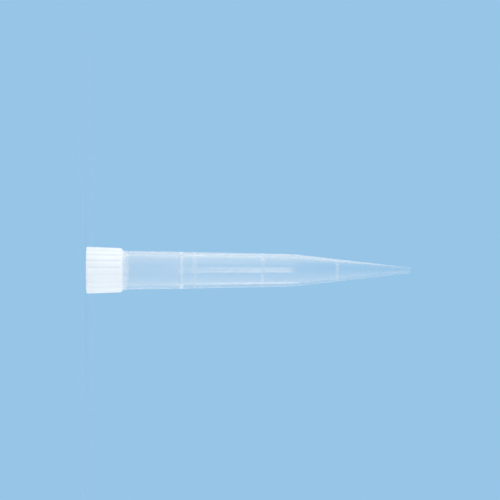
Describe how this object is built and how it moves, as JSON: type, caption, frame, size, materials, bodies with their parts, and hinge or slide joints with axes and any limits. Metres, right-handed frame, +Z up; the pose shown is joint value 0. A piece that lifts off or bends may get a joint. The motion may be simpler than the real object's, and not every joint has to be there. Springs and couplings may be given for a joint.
{
  "type": "pipette tip",
  "caption": "Slim tapered pipette tip with a ribbed push-on collar, an inner ledge, fine volume rings and a narrow open point, moulded in one piece.",
  "frame": {"origin": "centre of the mouth's rim, in the plane that the tip stands on", "axes": "+Z runs up the bore's axis from the open mouth to the fine orifice; X and Y lie in the plane of the rim, and the tip has the same form all round"},
  "size_m": [0.0102, 0.0102, 0.071],
  "materials": {
    "natural_polypropylene": "moulded, uncoloured and translucent, with a low sheen"
  },
  "bodies": {
    "root": {"pipette_tip": "natural_polypropylene"}
  },
  "joints": []
}
